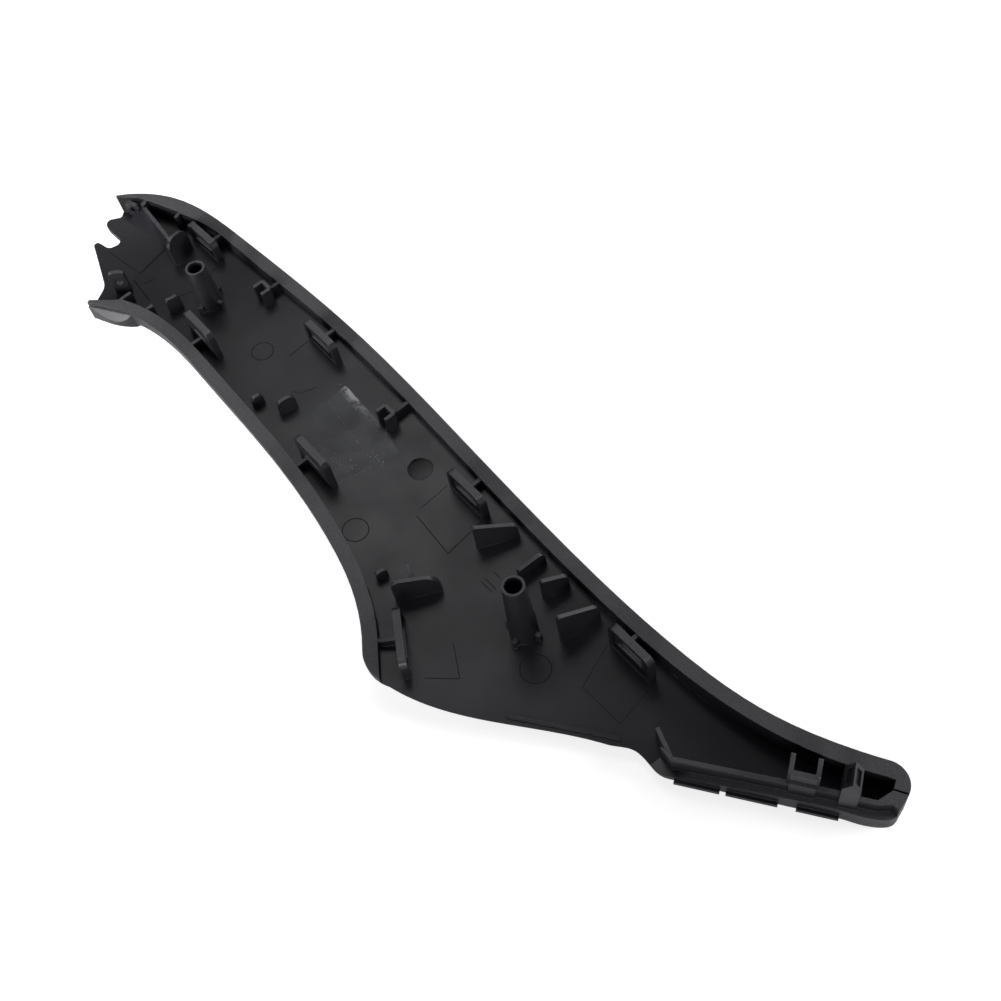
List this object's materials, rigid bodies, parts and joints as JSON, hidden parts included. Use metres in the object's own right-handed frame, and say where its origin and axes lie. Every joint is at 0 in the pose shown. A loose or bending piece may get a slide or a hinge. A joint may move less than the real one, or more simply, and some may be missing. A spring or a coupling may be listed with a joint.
{
  "type": "door pull handle cover",
  "caption": "Long curved plastic cover of a car's inner door pull handle, open side up: a ribbed shell with screw towers, clip plates, a belly edge and a slim latching tail.",
  "frame": {"origin": "midway between the mouths of the two screw towers, level with them", "axes": "+X from the wide scalloped end to the slim tail, along the line through both towers; +Y to the long plain edge; +Z out of the open side, along the towers"},
  "size_m": [0.3657, 0.0947, 0.0368],
  "materials": {
    "cover": "fine grained, satin, lightly scuffed"
  },
  "bodies": {
    "root": {"handle_cover": "cover"}
  },
  "joints": []
}
